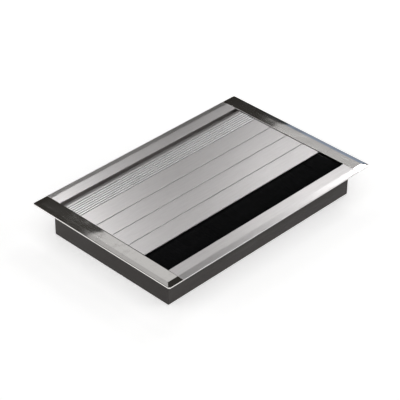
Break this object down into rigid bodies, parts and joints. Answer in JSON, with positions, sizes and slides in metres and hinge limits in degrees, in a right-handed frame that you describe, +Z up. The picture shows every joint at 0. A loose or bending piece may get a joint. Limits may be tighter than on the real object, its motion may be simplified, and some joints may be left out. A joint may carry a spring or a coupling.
{
  "type": "desk grommet",
  "caption": "Rectangular desk cable grommet with chrome end caps, aluminium rails, a dark cable well and a hinged ribbed lid that has a black brush strip along its front edge.",
  "frame": {"origin": "middle of the cable well's bottom edge, which is the middle of the object's footprint", "axes": "+X along the rails, +Y towards the hinge side, +Z up, out of the desk top"},
  "size_m": [0.2414, 0.16, 0.031],
  "materials": {
    "satin_aluminium": "satin anodised, fine lines along the length",
    "polished_chrome": "polished",
    "well_paint": "matte dark grey-brown powder coat",
    "bristle_nylon": "black filaments",
    "steel": "zinc plated",
    "bush_nylon": "smooth matte",
    "rubber": "matte"
  },
  "bodies": {
    "frame": {"front_rail": "satin_aluminium", "rear_rail": "satin_aluminium", "cable_well": "well_paint", "left_end_cap": "polished_chrome", "right_end_cap": "polished_chrome", "hinge_pin_left": "steel", "hinge_pin_right": "steel", "lid_buffer_left": "rubber", "lid_buffer_right": "rubber", "end_cap_screw_left_front": "steel", "end_cap_screw_left_rear": "steel", "end_cap_screw_right_front": "steel", "end_cap_screw_right_rear": "steel", "well_screw_front_1": "steel", "well_screw_front_2": "steel", "well_screw_front_3": "steel", "well_screw_rear_1": "steel", "well_screw_rear_2": "steel", "well_screw_rear_3": "steel"},
    "lid": {"lid_panel": "satin_aluminium", "brush_backing": "steel", "brush_bristles": "bristle_nylon", "hinge_bush_left": "bush_nylon", "hinge_bush_right": "bush_nylon", "brush_screw_1": "steel", "brush_screw_2": "steel", "brush_screw_3": "steel", "brush_screw_4": "steel"}
  },
  "joints": [
    {"name": "lid_hinge", "type": "hinge", "parent": "frame", "child": "lid", "pos_m": [0, 0.0562, 0.0257], "axis": [-1, 0, 0], "range_deg": [0, 108]}
  ]
}
